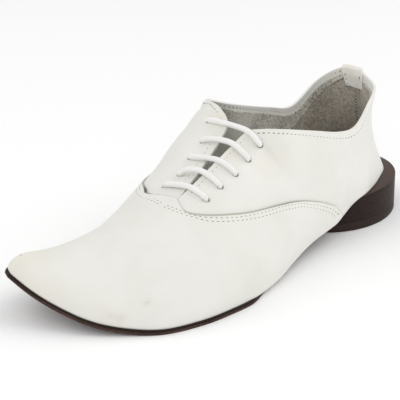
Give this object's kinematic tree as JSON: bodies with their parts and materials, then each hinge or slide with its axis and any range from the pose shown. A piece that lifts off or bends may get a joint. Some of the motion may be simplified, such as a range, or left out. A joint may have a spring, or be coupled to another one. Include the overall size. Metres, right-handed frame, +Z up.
{
  "type": "leather shoe",
  "caption": "Low white leather lace-up shoe for the left foot, pointed upturned toe, thin leather sole, low round stacked heel, open collar and throat.",
  "frame": {"origin": "middle of the heel's round base, on the floor", "axes": "+Z up, -Y towards the toe, +X towards the outer side of the left foot"},
  "size_m": [0.1059, 0.2939, 0.093],
  "materials": {
    "upper_leather": "smooth white leather, slightly worn",
    "sole_leather": "dark brown stained edge",
    "insole_leather": "dark brown, matte",
    "heel_leather": "stacked dark brown layers, polished side",
    "heel_rubber": "matte",
    "tab_leather": "smooth white leather",
    "lace_cotton": "round waxed cotton cord"
  },
  "bodies": {
    "root": {"upper": "upper_leather", "outsole": "sole_leather", "insole": "insole_leather", "heel_stack": "heel_leather", "heel_top_piece": "heel_rubber", "heel_tab": "tab_leather", "lace_bar_1": "lace_cotton", "lace_bar_2": "lace_cotton", "lace_bar_3": "lace_cotton", "lace_bar_4": "lace_cotton", "lace_bar_5": "lace_cotton"}
  },
  "joints": []
}
